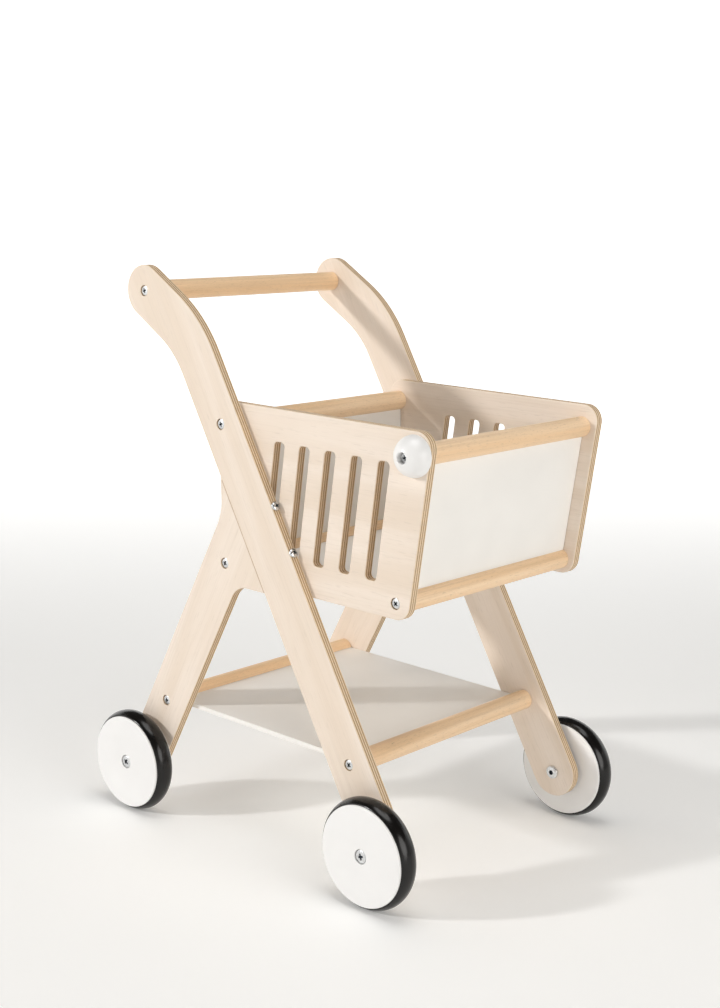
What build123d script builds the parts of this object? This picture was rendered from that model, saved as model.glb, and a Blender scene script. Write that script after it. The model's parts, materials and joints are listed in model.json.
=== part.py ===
from build123d import *
import os
from math import atan2, cos, degrees, hypot, radians, sin, tan

os.makedirs("parts", exist_ok=True)

# A child's wooden shopping cart. +X points forward, away from the handle, +Y to the pusher's left
# and +Z up. The origin is on the floor, under the middle of the cart. Profiles of the side plates
# and rails are drawn in the XZ plane, whose normal is -Y, so the right-hand side is made first.

# ---- driving dimensions, mm ----
ply = 9.0                  # plywood thickness of legs and basket sides
leg_outer = 132.0          # Y of the legs' outer faces
wheel_outer = 157.0        # Y of the wheels' outer faces
wheel_radius = 50.0
wheel_width = 21.5
wheel_base = 313.0

leg_width = 48.0
leg_lean = 30.5            # handle leg from the vertical, degrees
rear_leg_lean = 27.5       # rear leg from the vertical, degrees
bend_height = 474.0        # where the handle leg's straight run would meet its arm
bend_radius = 115.0
handle_bar_x, handle_bar_z = -153.0, 510.0
gusset_z = 249.5           # underside of the rear leg's wide top
gusset_radius = 22.0
crook_radius = 60.0        # hollow behind the joint of the two legs
crook_turn = 42.0          # its arc, stopped short of a feather edge
leg_edge_round = 0.6       # eased edges of the legs
side_edge_round = 0.9      # and of the basket sides

basket_top, basket_bottom = 417.0, 254.0
top_rail_z, bottom_rail_z = 396.5, 268.0
front_top_x, front_bottom_x = 177.0, 159.5
back_top_x, back_bottom_x = -47.5, -41.5
front_margin, back_margin = 15.5, 12.0
side_corner_radius = 15.0
slot_count = 5
slot_pitch = 30.9
slot_width = 12.8
slot_top, slot_bottom = 387.5, 283.0
slot_middle_x = 75.0       # middle slot's centre, half way up
slot_corner_radius = 4.0
slot_lean = 7.1            # degrees

rail_radius = 9.5
stretcher_z = 115.5
rear_stretcher_x = -124.5
panel_thickness = 4.0
groove_floor = 5.2         # from a rail's axis to the bottom of its groove
side_play = 0.5            # between a panel's end and the plywood

knob_radius = 18.0
bolt_radius = 2.5
bolt_head_radius = 4.5
bolt_head_height = 2.4
counterbore_radius = 5.2
counterbore_depth = 2.8
knob_counterbore_radius = 5.0
knob_counterbore_depth = 7.2
bolt_reach = 20.0          # of a bolt inside a rail
insert_radius = 5.0
insert_length = 13.0
rail_bore_depth = 24.0

axle_radius = 3.0
axle_play = 0.05           # radial, between bush and axle bolt
axle_head_radius = 5.8
axle_head_height = 2.6
wheel_gap = 0.4            # beside each wheel, to its spacer and to the bolt head
wheel_counterbore_radius = 6.6
wheel_counterbore_depth = 3.2
disc_edge_round = 1.0
bush_radius = 5.0
spacer_radius = 7.0
cap_nut_radius = 6.3
cap_nut_height = 3.4
cap_nut_socket = 2.5       # radius of its hexagon
cap_nut_thread = 1.4       # length of axle bolt held inside the cap nut
tyre_depth = 4.7
tyre_crown = 3.6
tyre_edge_round = 0.5
tyre_inset = 1.6           # of the tyre behind each face of the disc

leg_screw_stations = (91.0, 136.0)   # down the leg from the back top rail
leg_screw_radius = 2.4
leg_screw_length = 74.0
leg_screw_head_radius = 4.4
leg_screw_head_height = 3.2

# ---- worked-out places ----
leg_inner = leg_outer - ply
side_inner = leg_inner - ply
wheel_inner = wheel_outer - wheel_width
front_axle = (wheel_base / 2, wheel_radius)
rear_axle = (-wheel_base / 2, wheel_radius)
lean = tan(radians(leg_lean))
down_leg = (sin(radians(leg_lean)), -cos(radians(leg_lean)))
across_leg = (cos(radians(leg_lean)), sin(radians(leg_lean)))
up_rear_leg = (sin(radians(rear_leg_lean)), cos(radians(rear_leg_lean)))
across_rear_leg = (cos(radians(rear_leg_lean)), -sin(radians(rear_leg_lean)))


def leg_line(z, aside=0.0):
    """Point of the handle leg's straight run at height z, moved aside to the front."""
    return (front_axle[0] - (z - wheel_radius) * lean + aside / cos(radians(leg_lean)), z)


def rear_leg_line(z, aside=0.0):
    """Point of the rear leg's centre line at height z, moved aside to the front."""
    across = aside / cos(radians(rear_leg_lean))
    return (rear_axle[0] + (z - wheel_radius) * tan(radians(rear_leg_lean)) + across, z)


handle_bar_at = (handle_bar_x, handle_bar_z)
leg_bend = leg_line(bend_height)
front_top = (front_top_x, top_rail_z)
front_bottom = (front_bottom_x, bottom_rail_z)
back_top = (back_top_x, top_rail_z)
back_bottom = (back_bottom_x, bottom_rail_z)
front_stretcher_at = leg_line(stretcher_z)
rear_stretcher_at = (rear_stretcher_x, stretcher_z)
wheel_places = {"front": front_axle, "rear": rear_axle}


def beside_rear_axle(aside):
    """Point square to the rear leg from its axle, moved aside to the front."""
    return (rear_axle[0] + aside * across_rear_leg[0], rear_axle[1] + aside * across_rear_leg[1])


def outward(point, y):
    """Plane at (x, y, z) whose normal points away from the cart's middle."""
    return Plane(origin=(point[0], y, point[1]), x_dir=(1, 0, 0), z_dir=(0, 1 if y > 0 else -1, 0))


def save(piece, name):
    piece.part.label = name
    export_step(piece.part, f"parts/{name}.step")


# ---- handle legs: a bent strip with round ends, from the handle bar to the front axle ----
with BuildPart() as right_handle_leg:
    with BuildSketch(Plane.XZ.offset(leg_inner)):
        with BuildLine():
            FilletPolyline(handle_bar_at, leg_bend, front_axle, radius=bend_radius)
            offset(amount=leg_width / 2, kind=Kind.ARC, side=Side.BOTH, mode=Mode.REPLACE)
        make_face()
    extrude(amount=ply)
    fillet(faces().filter_by(Axis.Y).edges(), leg_edge_round)
    with Locations(*[outward(p, -leg_outer) for p in (handle_bar_at, back_top, front_stretcher_at)]):
        CounterBoreHole(bolt_radius, counterbore_radius, counterbore_depth)
    with Locations(outward(front_axle, -leg_outer)):
        Hole(axle_radius)
    for station in leg_screw_stations:
        on_line = (back_top[0] + station * down_leg[0], back_top[1] + station * down_leg[1])
        with BuildSketch(Plane((on_line[0], -leg_inner - ply / 2, on_line[1]),
                               x_dir=(0, 1, 0), z_dir=(across_leg[0], 0, across_leg[1]))):
            Circle(leg_screw_radius)
        extrude(amount=leg_width, both=True, mode=Mode.SUBTRACT)
save(right_handle_leg, "right_handle_leg")

# ---- rear legs: a straight strip that widens into a gusset along the handle leg's rear edge ----
seam_low = leg_line(gusset_z, -leg_width / 2)
crook = (
    (leg_line(0, -leg_width / 2)[0] - rear_leg_line(0, -leg_width / 2)[0])
    / (lean + tan(radians(rear_leg_lean)))
)
crook_corner = leg_line(crook, -leg_width / 2)
crook_setback = crook_radius * tan(radians((leg_lean + rear_leg_lean) / 2))
crook_start = (
    crook_corner[0] - crook_setback * up_rear_leg[0],
    crook_corner[1] - crook_setback * up_rear_leg[1],
)
with BuildPart() as right_rear_leg:
    with BuildSketch(Plane.XZ.offset(leg_inner)) as rear_leg_face:
        with BuildLine():
            rear_edge = Line(beside_rear_axle(-leg_width / 2), crook_start)
            hollow = JernArc(crook_start, up_rear_leg, crook_radius, crook_turn)
            tip = hollow @ 1
            tip_along = (crook_corner[1] - tip.Y) * down_leg[1] + (tip.X - crook_corner[0]) * -down_leg[0]
            Polyline(
                tip,
                (crook_corner[0] - tip_along * down_leg[0], crook_corner[1] - tip_along * down_leg[1]),
                seam_low,
                rear_leg_line(gusset_z, leg_width / 2),
                beside_rear_axle(leg_width / 2),
                rear_edge @ 0,
            )
        make_face()
        inner_corner = rear_leg_face.vertices().filter_by(
            lambda v: abs(v.X - rear_leg_line(gusset_z, leg_width / 2)[0]) < 0.01
        )
        fillet(inner_corner, gusset_radius)
        with Locations(rear_axle):
            Circle(leg_width / 2)
    extrude(amount=ply)
    fillet(faces().filter_by(Axis.Y).edges(), leg_edge_round)
    with Locations(*[outward(p, -leg_outer) for p in (back_bottom, rear_stretcher_at)]):
        CounterBoreHole(bolt_radius, counterbore_radius, counterbore_depth)
    with Locations(outward(rear_axle, -leg_outer)):
        Hole(axle_radius)
    for station in leg_screw_stations:
        on_line = (back_top[0] + station * down_leg[0], back_top[1] + station * down_leg[1])
        with BuildSketch(Plane((on_line[0], -leg_inner - ply / 2, on_line[1]),
                               x_dir=(0, 1, 0), z_dir=(-across_leg[0], 0, -across_leg[1]))):
            Circle(leg_screw_radius)
        extrude(amount=leg_screw_length - leg_width / 2, mode=Mode.SUBTRACT)
save(right_rear_leg, "right_rear_leg")

# ---- basket sides: plates with a leaning front edge and a row of leaning slots ----
front_lean = (front_top_x - front_bottom_x) / (top_rail_z - bottom_rail_z)
back_lean = (back_top_x - back_bottom_x) / (top_rail_z - bottom_rail_z)


def basket_front_x(z):
    return front_top_x + front_margin + (z - top_rail_z) * front_lean


def basket_back_x(z):
    return back_top_x - back_margin + (z - top_rail_z) * back_lean


with BuildPart() as right_basket_side:
    with BuildSketch(Plane.XZ.offset(side_inner)):
        Polygon(
            (basket_back_x(basket_bottom), basket_bottom),
            (basket_front_x(basket_bottom), basket_bottom),
            (basket_front_x(basket_top), basket_top),
            (basket_back_x(basket_top), basket_top),
            align=None,
        )
        fillet(vertices(), side_corner_radius)
        slot_run = (slot_top - slot_bottom) * tan(radians(slot_lean)) / 2
        for number in range(slot_count):
            middle = slot_middle_x + (number - (slot_count - 1) / 2) * slot_pitch
            with BuildSketch(mode=Mode.SUBTRACT):
                Polygon(
                    (middle - slot_run - slot_width / 2, slot_bottom),
                    (middle - slot_run + slot_width / 2, slot_bottom),
                    (middle + slot_run + slot_width / 2, slot_top),
                    (middle + slot_run - slot_width / 2, slot_top),
                    align=None,
                )
                fillet(vertices(), slot_corner_radius)
    extrude(amount=ply)
    fillet(faces().filter_by(Axis.Y).edges(), side_edge_round)
    with Locations(outward(back_top, -leg_inner), outward(back_bottom, -leg_inner)):
        Hole(bolt_radius)
    with Locations(outward(front_top, -leg_inner)):
        Hole(bolt_radius)
    with Locations(outward(front_bottom, -leg_inner)):
        CounterBoreHole(bolt_radius, counterbore_radius, counterbore_depth)
save(right_basket_side, "right_basket_side")

# ---- the left-hand plates mirror the right-hand ones; the left side has no knob ----
with BuildPart() as left_handle_leg:
    mirror(right_handle_leg.part, about=Plane.XZ)
save(left_handle_leg, "left_handle_leg")

with BuildPart() as left_rear_leg:
    mirror(right_rear_leg.part, about=Plane.XZ)
save(left_rear_leg, "left_rear_leg")

with BuildPart() as left_basket_side:
    mirror(right_basket_side.part, about=Plane.XZ)
    with Locations(outward(front_top, leg_inner)):
        CounterBoreHole(bolt_radius, counterbore_radius, counterbore_depth)
save(left_basket_side, "left_basket_side")

# ---- rails: round bars with a bore and an insert in each end, some grooved for a panel ----


def heading(start, end):
    """Angle of the line between two rails, in the XZ plane."""
    return degrees(atan2(end[1] - start[1], end[0] - start[0]))


def rail(name, at, half_length, groove_angles=()):
    with BuildPart() as bar:
        with BuildSketch(Plane.XZ.offset(-half_length)):
            with Locations(at):
                Circle(rail_radius)
            for angle in groove_angles:
                reach = groove_floor + rail_radius
                middle = (at[0] + reach * cos(radians(angle)), at[1] + reach * sin(radians(angle)))
                with Locations(middle):
                    Rectangle(2 * rail_radius, panel_thickness, rotation=angle, mode=Mode.SUBTRACT)
        extrude(amount=2 * half_length)
        with Locations(outward(at, half_length), outward(at, -half_length)):
            CounterBoreHole(bolt_radius, insert_radius, insert_length, rail_bore_depth)
    save(bar, name)


panel_angle = heading(front_bottom, front_top)
back_angle = heading(back_bottom, back_top)
rail("handle_bar", handle_bar_at, leg_inner)
rail("basket_front_top_rail", front_top, side_inner, [panel_angle + 180])
rail("basket_front_bottom_rail", front_bottom, side_inner, [panel_angle, 180])
rail("basket_back_top_rail", back_top, side_inner, [back_angle + 180])
rail("basket_back_bottom_rail", back_bottom, side_inner, [back_angle, 0])
rail("front_stretcher", front_stretcher_at, leg_inner, [180])
rail("rear_stretcher", rear_stretcher_at, leg_inner, [0])


# ---- panels: flat boards whose edges stand in the grooves of two rails ----
def panel(name, start, end, half_width):
    length = hypot(end[0] - start[0], end[1] - start[1]) - 2 * groove_floor
    with BuildPart() as board:
        with BuildSketch(Plane.XZ.offset(-half_width)):
            with Locations(((start[0] + end[0]) / 2, (start[1] + end[1]) / 2)):
                Rectangle(length, panel_thickness, rotation=heading(start, end))
        extrude(amount=2 * half_width)
    save(board, name)


panel("basket_front_panel", front_bottom, front_top, side_inner - side_play)
panel("basket_back_panel", back_bottom, back_top, side_inner - side_play)
panel("basket_floor", back_bottom, front_bottom, side_inner - side_play)
panel("lower_shelf", rear_stretcher_at, front_stretcher_at, leg_inner - side_play)


# ---- fasteners, drawn along +Z with the underside of the head at the origin ----
def cross_head_bolt(shank_radius, shank_length, head_radius, head_height, pointed=False):
    """Domed head with a cross recess, on a plain shank."""
    with BuildPart(mode=Mode.PRIVATE) as bolt:
        with BuildSketch(Plane.XZ):
            with BuildLine():
                Line((0, 0), (0, head_height))
                ThreePointArc(
                    (0, head_height),
                    (head_radius * 0.62, head_height * 0.8),
                    (head_radius, head_height * 0.35),
                )
                Line((head_radius, head_height * 0.35), (head_radius, 0))
                Line((head_radius, 0), (0, 0))
            make_face()
        revolve(axis=Axis.Z)
        with BuildSketch(Plane.XY):
            Circle(shank_radius)
        extrude(amount=-shank_length)
        if pointed:
            chamfer(bolt.edges().sort_by(Axis.Z)[0], 2 * shank_radius, 0.8 * shank_radius)
        with BuildSketch(Plane.XY.offset(head_height * 0.35)):
            Rectangle(head_radius * 1.15, head_radius * 0.24)
            Rectangle(head_radius * 0.24, head_radius * 1.15)
        extrude(amount=head_height, mode=Mode.SUBTRACT)
    return bolt.part


def place(name, shape, planes):
    """Copies of one fastener, as separate solids of one node."""
    with BuildPart() as group:
        with Locations(*planes):
            add(shape)
    save(group, name)


def both_sides(points, y):
    return [outward(point, side * y) for point in points for side in (1, -1)]


head_seat = leg_outer - counterbore_depth
side_head_seat = leg_inner - counterbore_depth
knob_head_seat = leg_inner + knob_radius - knob_counterbore_depth
short_bolt = cross_head_bolt(bolt_radius, ply - counterbore_depth + bolt_reach, bolt_head_radius,
                             bolt_head_height)
long_bolt = cross_head_bolt(bolt_radius, 2 * ply - counterbore_depth + bolt_reach, bolt_head_radius,
                            bolt_head_height)
knob_bolt = cross_head_bolt(bolt_radius, knob_head_seat - side_inner + bolt_reach, bolt_head_radius,
                            bolt_head_height)
place(
    "short_frame_bolts",
    short_bolt,
    both_sides([handle_bar_at, front_stretcher_at, rear_stretcher_at], head_seat)
    + both_sides([front_bottom], side_head_seat)
    + [outward(front_top, side_head_seat)],
)
place("long_frame_bolts", long_bolt, both_sides([back_top, back_bottom], head_seat))
place("knob_screw", knob_bolt, [outward(front_top, -knob_head_seat)])

# ---- threaded inserts, pressed into the rails' ends around the bolts ----
with BuildPart(mode=Mode.PRIVATE) as insert:
    with BuildSketch(Plane.XY):
        Circle(insert_radius)
        Circle(bolt_radius, mode=Mode.SUBTRACT)
    extrude(amount=-insert_length)
place(
    "rail_insert_nuts",
    insert.part,
    both_sides([handle_bar_at, front_stretcher_at, rear_stretcher_at], leg_inner)
    + both_sides([front_top, front_bottom, back_top, back_bottom], side_inner),
)

# ---- screws through the front edge of each handle leg into its rear leg ----
leg_screw = cross_head_bolt(leg_screw_radius, leg_screw_length, leg_screw_head_radius,
                            leg_screw_head_height, pointed=True)
screw_planes = [
    Plane(
        origin=(
            back_top[0] + station * down_leg[0] + leg_width / 2 * across_leg[0],
            side * (leg_inner + ply / 2),
            back_top[1] + station * down_leg[1] + leg_width / 2 * across_leg[1],
        ),
        x_dir=(0, 1, 0),
        z_dir=(across_leg[0], 0, across_leg[1]),
    )
    for station in leg_screw_stations
    for side in (1, -1)
]
place("leg_joint_screws", leg_screw, screw_planes)

# ---- bag knob: half a ball with a deep counterbore ----
with BuildPart() as bag_knob:
    with BuildSketch(Plane(origin=(front_top[0], -leg_inner, front_top[1]), x_dir=(1, 0, 0),
                           z_dir=(0, 0, 1))):
        with BuildLine():
            Line((0, 0), (0, -knob_radius))
            RadiusArc((0, -knob_radius), (knob_radius, 0), -knob_radius)
            Line((knob_radius, 0), (0, 0))
        make_face()
    revolve(axis=Axis((front_top[0], -leg_inner, front_top[1]), (0, 1, 0)))
    with Locations(outward(front_top, -leg_inner - knob_radius)):
        CounterBoreHole(bolt_radius, knob_counterbore_radius, knob_counterbore_depth)
save(bag_knob, "bag_knob")

# ---- wheels: a board disc in a rubber band, with a bush that runs on the axle bolt ----
disc_radius = wheel_radius - tyre_depth


def wheel_profile_plane(at, side):
    """Plane through a wheel's axis: its x is the radius, its y runs from the wheel to the outside."""
    return Plane(origin=(at[0], side * wheel_inner, at[1]), x_dir=(1, 0, 0), z_dir=(0, 0, side))


def wheel(name, at, side):
    axis = Axis((at[0], 0, at[1]), (0, 1, 0))
    hub_end = wheel_width - wheel_counterbore_depth
    with BuildPart() as disc:
        with BuildSketch(wheel_profile_plane(at, side)):
            Polygon(
                (bush_radius, 0),
                (disc_radius, 0),
                (disc_radius, wheel_width),
                (wheel_counterbore_radius, wheel_width),
                (wheel_counterbore_radius, hub_end),
                (bush_radius, hub_end),
                align=None,
            )
            fillet(vertices().group_by(Axis.X)[-1], disc_edge_round)
        revolve(axis=axis)
    save(disc, f"{name}_wheel_disc")
    shoulder = wheel_radius - tyre_crown
    far_edge = wheel_width - tyre_inset
    with BuildPart() as tyre:
        with BuildSketch(wheel_profile_plane(at, side)):
            with BuildLine():
                Polyline((shoulder, tyre_inset), (disc_radius, tyre_inset), (disc_radius, far_edge),
                         (shoulder, far_edge))
                ThreePointArc((shoulder, far_edge), (wheel_radius, wheel_width / 2), (shoulder, tyre_inset))
            make_face()
            fillet(vertices().group_by(Axis.X)[-1], tyre_edge_round)
        revolve(axis=axis)
    save(tyre, f"{name}_tyre")
    with BuildPart() as bush:
        with BuildSketch(wheel_profile_plane(at, side)):
            with Locations(((axle_radius + axle_play + bush_radius) / 2, hub_end / 2)):
                Rectangle(bush_radius - axle_radius - axle_play, hub_end)
        revolve(axis=axis)
    save(bush, f"{name}_wheel_bush")


for end, at in wheel_places.items():
    for side_name, side in (("right", -1), ("left", 1)):
        wheel(f"{end}_{side_name}", at, side)

# ---- axle bolts, spacers and cap nuts, fixed to the legs ----
axle_places = [front_axle, rear_axle]
axle_seat = wheel_outer - wheel_counterbore_depth + wheel_gap
axle_bolt = cross_head_bolt(axle_radius, axle_seat - leg_inner + cap_nut_thread, axle_head_radius,
                            axle_head_height)
place("axle_bolts", axle_bolt, both_sides(axle_places, axle_seat))

with BuildPart(mode=Mode.PRIVATE) as spacer:
    with BuildSketch(Plane.XY):
        Circle(spacer_radius)
        Circle(axle_radius, mode=Mode.SUBTRACT)
    extrude(amount=wheel_inner - wheel_gap - leg_outer)
place("axle_spacers", spacer.part, both_sides(axle_places, leg_outer))

with BuildPart(mode=Mode.PRIVATE) as cap_nut:
    with BuildSketch(Plane.XY):
        Circle(cap_nut_radius)
    extrude(amount=-cap_nut_height)
    fillet(faces().sort_by(Axis.Z)[0].edges(), cap_nut_height * 0.6)
    with BuildSketch(Plane.XY):
        Circle(axle_radius)
    extrude(amount=-cap_nut_thread, mode=Mode.SUBTRACT)
    with BuildSketch(Plane.XY.offset(-cap_nut_height)):
        RegularPolygon(cap_nut_socket, 6)
    extrude(amount=cap_nut_height / 2, mode=Mode.SUBTRACT)
place("axle_cap_nuts", cap_nut.part, both_sides(axle_places, leg_inner))
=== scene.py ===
import json
from math import acos, asin, atan2, cos, pi, radians, sin, tau

import bmesh
import bpy
import numpy as np
from bpy.props import FloatProperty, FloatVectorProperty, PointerProperty
from mathutils import Matrix, Vector

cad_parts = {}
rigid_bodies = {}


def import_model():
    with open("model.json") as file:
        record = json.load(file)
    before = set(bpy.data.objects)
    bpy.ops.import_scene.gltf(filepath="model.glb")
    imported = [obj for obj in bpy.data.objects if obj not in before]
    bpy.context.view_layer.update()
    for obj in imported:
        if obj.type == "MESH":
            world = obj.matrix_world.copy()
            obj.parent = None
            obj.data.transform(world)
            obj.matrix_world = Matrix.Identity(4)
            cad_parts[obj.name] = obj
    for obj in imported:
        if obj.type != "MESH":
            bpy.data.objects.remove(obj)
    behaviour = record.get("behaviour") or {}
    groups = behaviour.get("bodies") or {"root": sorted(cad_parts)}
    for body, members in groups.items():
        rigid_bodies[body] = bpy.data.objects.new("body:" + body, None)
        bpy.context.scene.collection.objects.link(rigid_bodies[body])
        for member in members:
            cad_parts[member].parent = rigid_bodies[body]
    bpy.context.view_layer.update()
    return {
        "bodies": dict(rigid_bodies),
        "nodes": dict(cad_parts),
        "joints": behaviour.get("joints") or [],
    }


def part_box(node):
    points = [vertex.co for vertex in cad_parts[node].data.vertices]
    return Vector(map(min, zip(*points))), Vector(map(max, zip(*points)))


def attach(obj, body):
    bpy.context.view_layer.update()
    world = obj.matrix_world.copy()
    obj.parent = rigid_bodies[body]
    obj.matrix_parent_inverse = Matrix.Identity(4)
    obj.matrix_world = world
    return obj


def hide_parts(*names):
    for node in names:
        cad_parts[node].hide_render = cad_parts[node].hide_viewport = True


bl_info = {
    "name": "Toy shopping cart finish",
    "version": (1, 0, 0),
    "blender": (4, 5, 0),
    "location": "View3D > Sidebar > Cart",
    "description": "Turned rails, boards, wheels and screws for a child's wooden shopping cart",
    "category": "Object",
}

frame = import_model()

MM = 0.001
WHEELS = [body for body in frame["bodies"] if body.endswith("_wheel")]
SIDES = (-1, 1)
PLIES = 7


# ---------------------------------------------------------------- places, from the frame

def corner_box(node):
    """Lowest and highest corners of a node as arrays, in metres."""
    low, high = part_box(node)
    return np.array(low), np.array(high)


bar_low, bar_high = corner_box("handle_bar")
RAIL_RADIUS = (bar_high[2] - bar_low[2]) / 2
LEG_INNER = bar_high[1]
SIDE_INNER = corner_box("basket_front_top_rail")[1][1]
PLY = LEG_INNER - SIDE_INNER


def rail_axis(node, x_side, z_side):
    """A rail's axis in the XZ plane, found from the two sides of its box that no groove cuts."""
    low, high = corner_box(node)
    x = high[0] - RAIL_RADIUS if x_side > 0 else low[0] + RAIL_RADIUS
    z = high[2] - RAIL_RADIUS if z_side > 0 else low[2] + RAIL_RADIUS
    return np.array((x, z))


AXES = {
    "handle_bar": rail_axis("handle_bar", 1, 1),
    "basket_front_top_rail": rail_axis("basket_front_top_rail", 1, 1),
    "basket_front_bottom_rail": rail_axis("basket_front_bottom_rail", 1, -1),
    "basket_back_top_rail": rail_axis("basket_back_top_rail", 1, 1),
    "basket_back_bottom_rail": rail_axis("basket_back_bottom_rail", -1, -1),
    "front_stretcher": rail_axis("front_stretcher", 1, 1),
    "rear_stretcher": rail_axis("rear_stretcher", -1, 1),
}
BOARDS = {
    "basket_front_panel": ("basket_front_bottom_rail", "basket_front_top_rail"),
    "basket_back_panel": ("basket_back_bottom_rail", "basket_back_top_rail"),
    "basket_floor": ("basket_back_bottom_rail", "basket_front_bottom_rail"),
    "lower_shelf": ("rear_stretcher", "front_stretcher"),
}
LEVEL_BOARDS = ("basket_floor", "lower_shelf")
floor_low, floor_high = corner_box("basket_floor")
BOARD = floor_high[2] - floor_low[2]
GROOVE_FLOOR = floor_low[0] - AXES["basket_back_bottom_rail"][0]

axle_places = {j["child"]: np.array(j["pos_m"]) for j in frame["joints"]}
front_axle = axle_places["front_right_wheel"]
LEG_HALF_WIDTH = front_axle[2] - corner_box("right_handle_leg")[0][2]
down_leg = np.array((front_axle[0], front_axle[2])) - AXES["basket_back_top_rail"]
down_leg = down_leg / np.linalg.norm(down_leg)
across_leg = np.array((-down_leg[1], down_leg[0]))


# ---------------------------------------------------------------- surfaces

def frame_of(axis):
    """Two unit vectors square to an axis and to each other."""
    axis = np.asarray(axis, float)
    helper = np.array((1.0, 0.0, 0.0)) if abs(axis[0]) < 0.9 else np.array((0.0, 0.0, 1.0))
    first = np.cross(axis, helper)
    first = first / np.linalg.norm(first)
    return first, np.cross(axis, first)


def turned(profile, centre, axis, steps=96):
    """A turned shape: point (r, h) of the profile goes to centre + h * axis + r * (e1 cos a + e2 sin a),
    for the angle a all the way round. Rows follow the profile and columns the turn."""
    e1, e2 = frame_of(axis)
    turn = np.linspace(0.0, tau, steps, endpoint=False)
    ring = np.cos(turn)[:, None] * e1 + np.sin(turn)[:, None] * e2
    profile = np.asarray(profile, float)
    return (
        np.asarray(centre, float)
        + profile[:, 1, None, None] * np.asarray(axis, float)
        + profile[:, 0, None, None] * ring[None]
    )


def rounded(corners, radii, steps=6):
    """A closed outline through the corners, each replaced by a round arc of its own radius: the arc's
    centre lies on the corner's bisector, radius / sin(half angle) away, and the arc runs between its
    tangent points."""
    corners = np.asarray(corners, float)
    pieces = []
    for index, radius in enumerate(radii):
        here = corners[index]
        back = corners[index - 1] - here
        ahead = corners[(index + 1) % len(corners)] - here
        back, ahead = back / np.linalg.norm(back), ahead / np.linalg.norm(ahead)
        if radius == 0:
            pieces.append(here[None])
            continue
        half = acos(np.clip(back @ ahead, -1, 1)) / 2
        middle = (back + ahead) / np.linalg.norm(back + ahead)
        centre = here + middle * radius / sin(half)
        reach = radius * cos(half) / sin(half)
        start, end = here + back * reach - centre, here + ahead * reach - centre
        first = atan2(start[1], start[0])
        swing = (atan2(end[1], end[0]) - first + pi) % tau - pi
        angle = first + swing * np.linspace(0, 1, steps)
        pieces.append(centre + radius * np.stack([np.cos(angle), np.sin(angle)], 1))
    return np.concatenate(pieces)


def carried(section, y_values, insets):
    """A closed section in the XZ plane carried along Y. At each y the section is drawn in towards its own
    middle by the inset there, as a share of its size, which eases the two ends and, at 1, closes them."""
    middle = (section.max(0) + section.min(0)) / 2
    y_values, insets = np.asarray(y_values), np.asarray(insets)
    flat = middle + (section[None] - middle) * (1 - insets)[:, None, None]
    depth = np.broadcast_to(y_values[:, None], flat.shape[:2])
    return np.stack([flat[..., 0], depth, flat[..., 1]], -1)


def between(half_length, ease, share):
    """Stations along Y for carried(): closed ends, an eased edge of the given length, and the straight run.
    The second tuple holds the inset at each station."""
    stations = (-half_length, -half_length, ease - half_length, half_length - ease, half_length, half_length)
    return stations, (1, share, 0, 0, share, 1)


def quads(rows, columns, start, round_rows, round_columns):
    """Corner numbers of the quads of a grid. A round direction joins its last line to its first."""
    index = start + np.arange(rows * columns).reshape(rows, columns)
    if round_rows:
        index = np.concatenate([index, index[:1]])
    if round_columns:
        index = np.concatenate([index, index[:, :1]], 1)
    corners = [index[:-1, :-1], index[1:, :-1], index[1:, 1:], index[:-1, 1:]]
    return np.stack(corners, -1).reshape(-1, 4).tolist()


def closed_mesh(name, points, faces, upwards=False):
    """A smooth mesh. Points may carry a fourth number, kept as the attribute "hollow". Points that fall
    together are merged, which closes the seams and poles, and the faces are turned outwards, or upwards
    for a floor."""
    mesh = bpy.data.meshes.new(name)
    mesh.from_pydata(points[:, :3].tolist(), [], faces)
    # The fourth number marks driver recesses and sockets, where the metal gets painted shade.
    if points.shape[1] == 4:
        mesh.attributes.new("recess_shade_mask", "FLOAT", "POINT").data.foreach_set("value", points[:, 3].copy())
    shape = bmesh.new()
    shape.from_mesh(mesh)
    bmesh.ops.remove_doubles(shape, verts=shape.verts, dist=1e-6)
    bmesh.ops.recalc_face_normals(shape, faces=shape.faces)
    if upwards and shape.faces[0].normal.z < 0:
        bmesh.ops.reverse_faces(shape, faces=shape.faces)
    shape.to_mesh(mesh)
    shape.free()
    mesh.shade_smooth()
    return mesh


def piece(name, surfaces, material, body, replaced, crease=38.0):
    """One object from grids of points. Each surface is (points, round rows, round columns). Edges that bend
    by more than crease degrees stay sharp."""
    points, faces, start = [], [], 0
    for grid, round_rows, round_columns in surfaces:
        rows, columns = grid.shape[:2]
        faces += quads(rows, columns, start, round_rows, round_columns)
        points.append(grid.reshape(rows * columns, -1))
        start += rows * columns
    mesh = closed_mesh(name, np.concatenate(points), faces)
    mesh.set_sharp_from_angle(angle=radians(crease))
    mesh.materials.append(material)
    made = bpy.data.objects.new(name, mesh)
    bpy.context.scene.collection.objects.link(made)
    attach(made, body)
    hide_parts(*replaced)
    return made


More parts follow.
